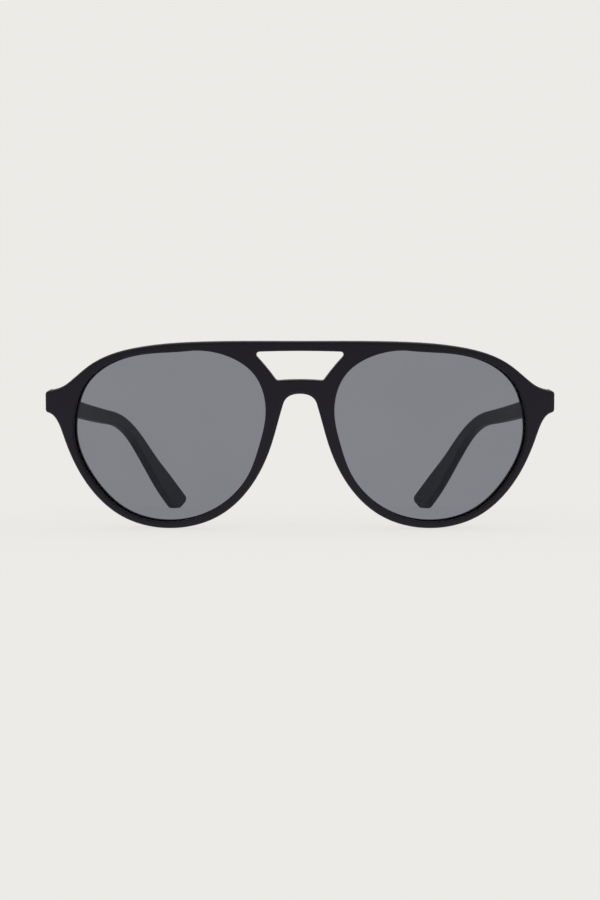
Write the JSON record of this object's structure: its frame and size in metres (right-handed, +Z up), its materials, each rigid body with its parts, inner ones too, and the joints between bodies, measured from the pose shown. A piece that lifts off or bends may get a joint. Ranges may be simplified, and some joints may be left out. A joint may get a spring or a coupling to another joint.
{
  "type": "aviator sunglasses",
  "caption": "Matte black acetate sunglasses with a double bridge and grey aviator lenses that shade the eyes, on temples that fold on screw hinges.",
  "frame": {"origin": "centre of the bounding box at its base, on the surface that the open glasses stand on", "axes": "+Z up, -Y the way the lenses face, +Y back along the open temples, +X the wearer's left"},
  "size_m": [0.146, 0.1584, 0.0529],
  "materials": {
    "acetate": "tumbled to a soft matte",
    "lens": "polished grey tint",
    "pad": "tumbled to a soft matte",
    "hinge_metal": "barrel polished",
    "nickel_silver": "drawn wire",
    "screw": "machined"
  },
  "bodies": {
    "front": {"front_frame": "acetate", "lens_left": "lens", "lens_right": "lens", "nose_pad_left": "pad", "nose_pad_right": "pad", "front_hinge_left": "hinge_metal", "front_hinge_right": "hinge_metal", "hinge_screw_left": "screw", "hinge_screw_right": "screw"},
    "left_temple": {"temple_left": "acetate", "core_wire_left": "nickel_silver", "temple_hinge_left": "hinge_metal"},
    "right_temple": {"temple_right": "acetate", "core_wire_right": "nickel_silver", "temple_hinge_right": "hinge_metal"}
  },
  "joints": [
    {"name": "left_temple_fold", "type": "hinge", "parent": "front", "child": "left_temple", "pos_m": [0.06785, -0.05727, 0.03652], "axis": [0, 0.0536, 0.9986], "range_deg": [0, 80]},
    {"name": "right_temple_fold", "type": "hinge", "parent": "front", "child": "right_temple", "pos_m": [-0.06785, -0.05727, 0.03652], "axis": [0, 0.0536, 0.9986], "range_deg": [-75, 0]}
  ]
}
